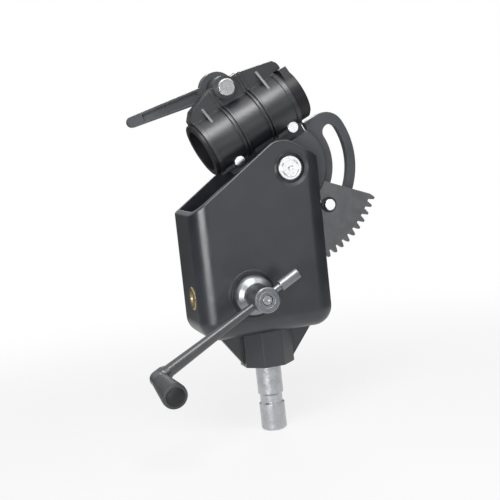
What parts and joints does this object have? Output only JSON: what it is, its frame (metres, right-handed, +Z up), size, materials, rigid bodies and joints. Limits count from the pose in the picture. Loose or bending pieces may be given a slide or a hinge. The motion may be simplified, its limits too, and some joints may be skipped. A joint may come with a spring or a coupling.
{
  "type": "geared tilt head",
  "caption": "Crank-driven geared tilt head: slab-sided gear case on a spigot, toothed sector and slotted plate, split tube clamp with lever on top.",
  "frame": {"origin": "centre of the column's flat foot, where the spigot's shoulder seats", "axes": "+Z up along the spigot, +X towards the toothed sector, -Y towards the side that carries the crank"},
  "size_m": [0.2931, 0.1808, 0.409],
  "materials": {
    "case_paint": "satin dark paint over a casting",
    "jaw_paint": "semi-gloss black paint over a casting",
    "lever_grey": "bead-blasted grey casting",
    "liner_nylon": "black nylon",
    "sector_steel": "ground steel plate",
    "gear_steel": "cut steel teeth, lightly oiled",
    "chrome": "bright nickel or chrome plate",
    "steel": "turned steel",
    "dark_steel": "blackened steel",
    "crank_metal": "grey satin metal",
    "brass": "turned brass",
    "bronze": "plain bearing bronze",
    "brake_lining": "pressed friction lining",
    "grip_grey": "grey moulded grip",
    "cap_rubber": "dark rubber"
  },
  "bodies": {
    "case": {"gear_case": "case_paint", "rear_cover": "case_paint", "cover_screws": "steel", "spigot": "steel", "spigot_screw": "steel", "pivot_bolt": "chrome", "pivot_washer": "steel", "pivot_nut": "chrome", "thrust_washer_front": "bronze", "thrust_washer_rear": "bronze", "crank_bearing": "crank_metal", "crank_bush_rear": "bronze", "idler_bush_front": "bronze", "idler_bush_rear": "bronze", "brake_spring": "steel", "brake_shoe": "brake_lining"},
    "brake_adjuster": {"brake_plug": "brass"},
    "tilt": {"tilt_bracket": "case_paint", "gear_sector": "sector_steel", "sector_washers": "dark_steel", "sector_screws": "chrome", "front_jaw": "jaw_paint", "rear_jaw": "jaw_paint", "left_liner": "liner_nylon", "right_liner": "liner_nylon", "jaw_screws": "chrome", "jaw_nuts": "chrome", "clamp_bolt": "chrome", "clamp_washer": "steel", "pivot_bush_front": "bronze", "pivot_bush_rear": "bronze"},
    "lever": {"clamp_lever": "lever_grey", "lever_insert": "steel"},
    "idler": {"idler_shaft": "steel", "idler_pinion": "gear_steel", "idler_wheel": "gear_steel"},
    "crank": {"crank_shaft": "steel", "brake_drum": "steel", "crank_pinion": "gear_steel", "crank_hub": "crank_metal", "hub_screw": "steel", "crank_arm": "crank_metal", "grip_spindle": "steel"},
    "knob": {"arm_knob": "crank_metal"},
    "grip": {"crank_grip": "grip_grey", "grip_cap": "cap_rubber"}
  },
  "joints": [
    {"name": "tilt", "type": "hinge", "parent": "case", "child": "tilt", "pos_m": [0.038, 0, 0.216], "axis": [0, -1, 0], "range_deg": [-60, 9.8]},
    {"name": "idler_turn", "type": "hinge", "parent": "case", "child": "idler", "pos_m": [0.0248, 0, 0.08617], "axis": [0, -1, 0], "range_deg": [-63, 377]},
    {"name": "crank_turn", "type": "hinge", "parent": "case", "child": "crank", "pos_m": [-0.0202, 0, 0.0856], "axis": [0, -1, 0], "range_deg": [-1505, 250]},
    {"name": "grip_spin", "type": "hinge", "parent": "crank", "child": "grip", "pos_m": [-0.14086, -0.0785, 0.02009], "axis": [0.0992, -0.9781, -0.1827], "continuous": true},
    {"name": "knob_turn", "type": "hinge", "parent": "crank", "child": "knob", "pos_m": [-0.0202, -0.0785, 0.0856], "axis": [0.8788, 0, 0.4772], "continuous": true},
    {"name": "lever_swing", "type": "hinge", "parent": "tilt", "child": "lever", "pos_m": [-0.0186, 0, 0.30928], "axis": [0, -1, 0], "range_deg": [-120, 0]},
    {"name": "brake_adjust", "type": "hinge", "parent": "case", "child": "brake_adjuster", "pos_m": [-0.0785, -0.006, 0.0856], "axis": [-1, 0, 0], "range_deg": [-90, 90]}
  ],
  "couplings": [
    {"joint": "crank_turn", "follows": "tilt", "ratio": 25},
    {"joint": "idler_turn", "follows": "tilt", "ratio": -6.25}
  ]
}
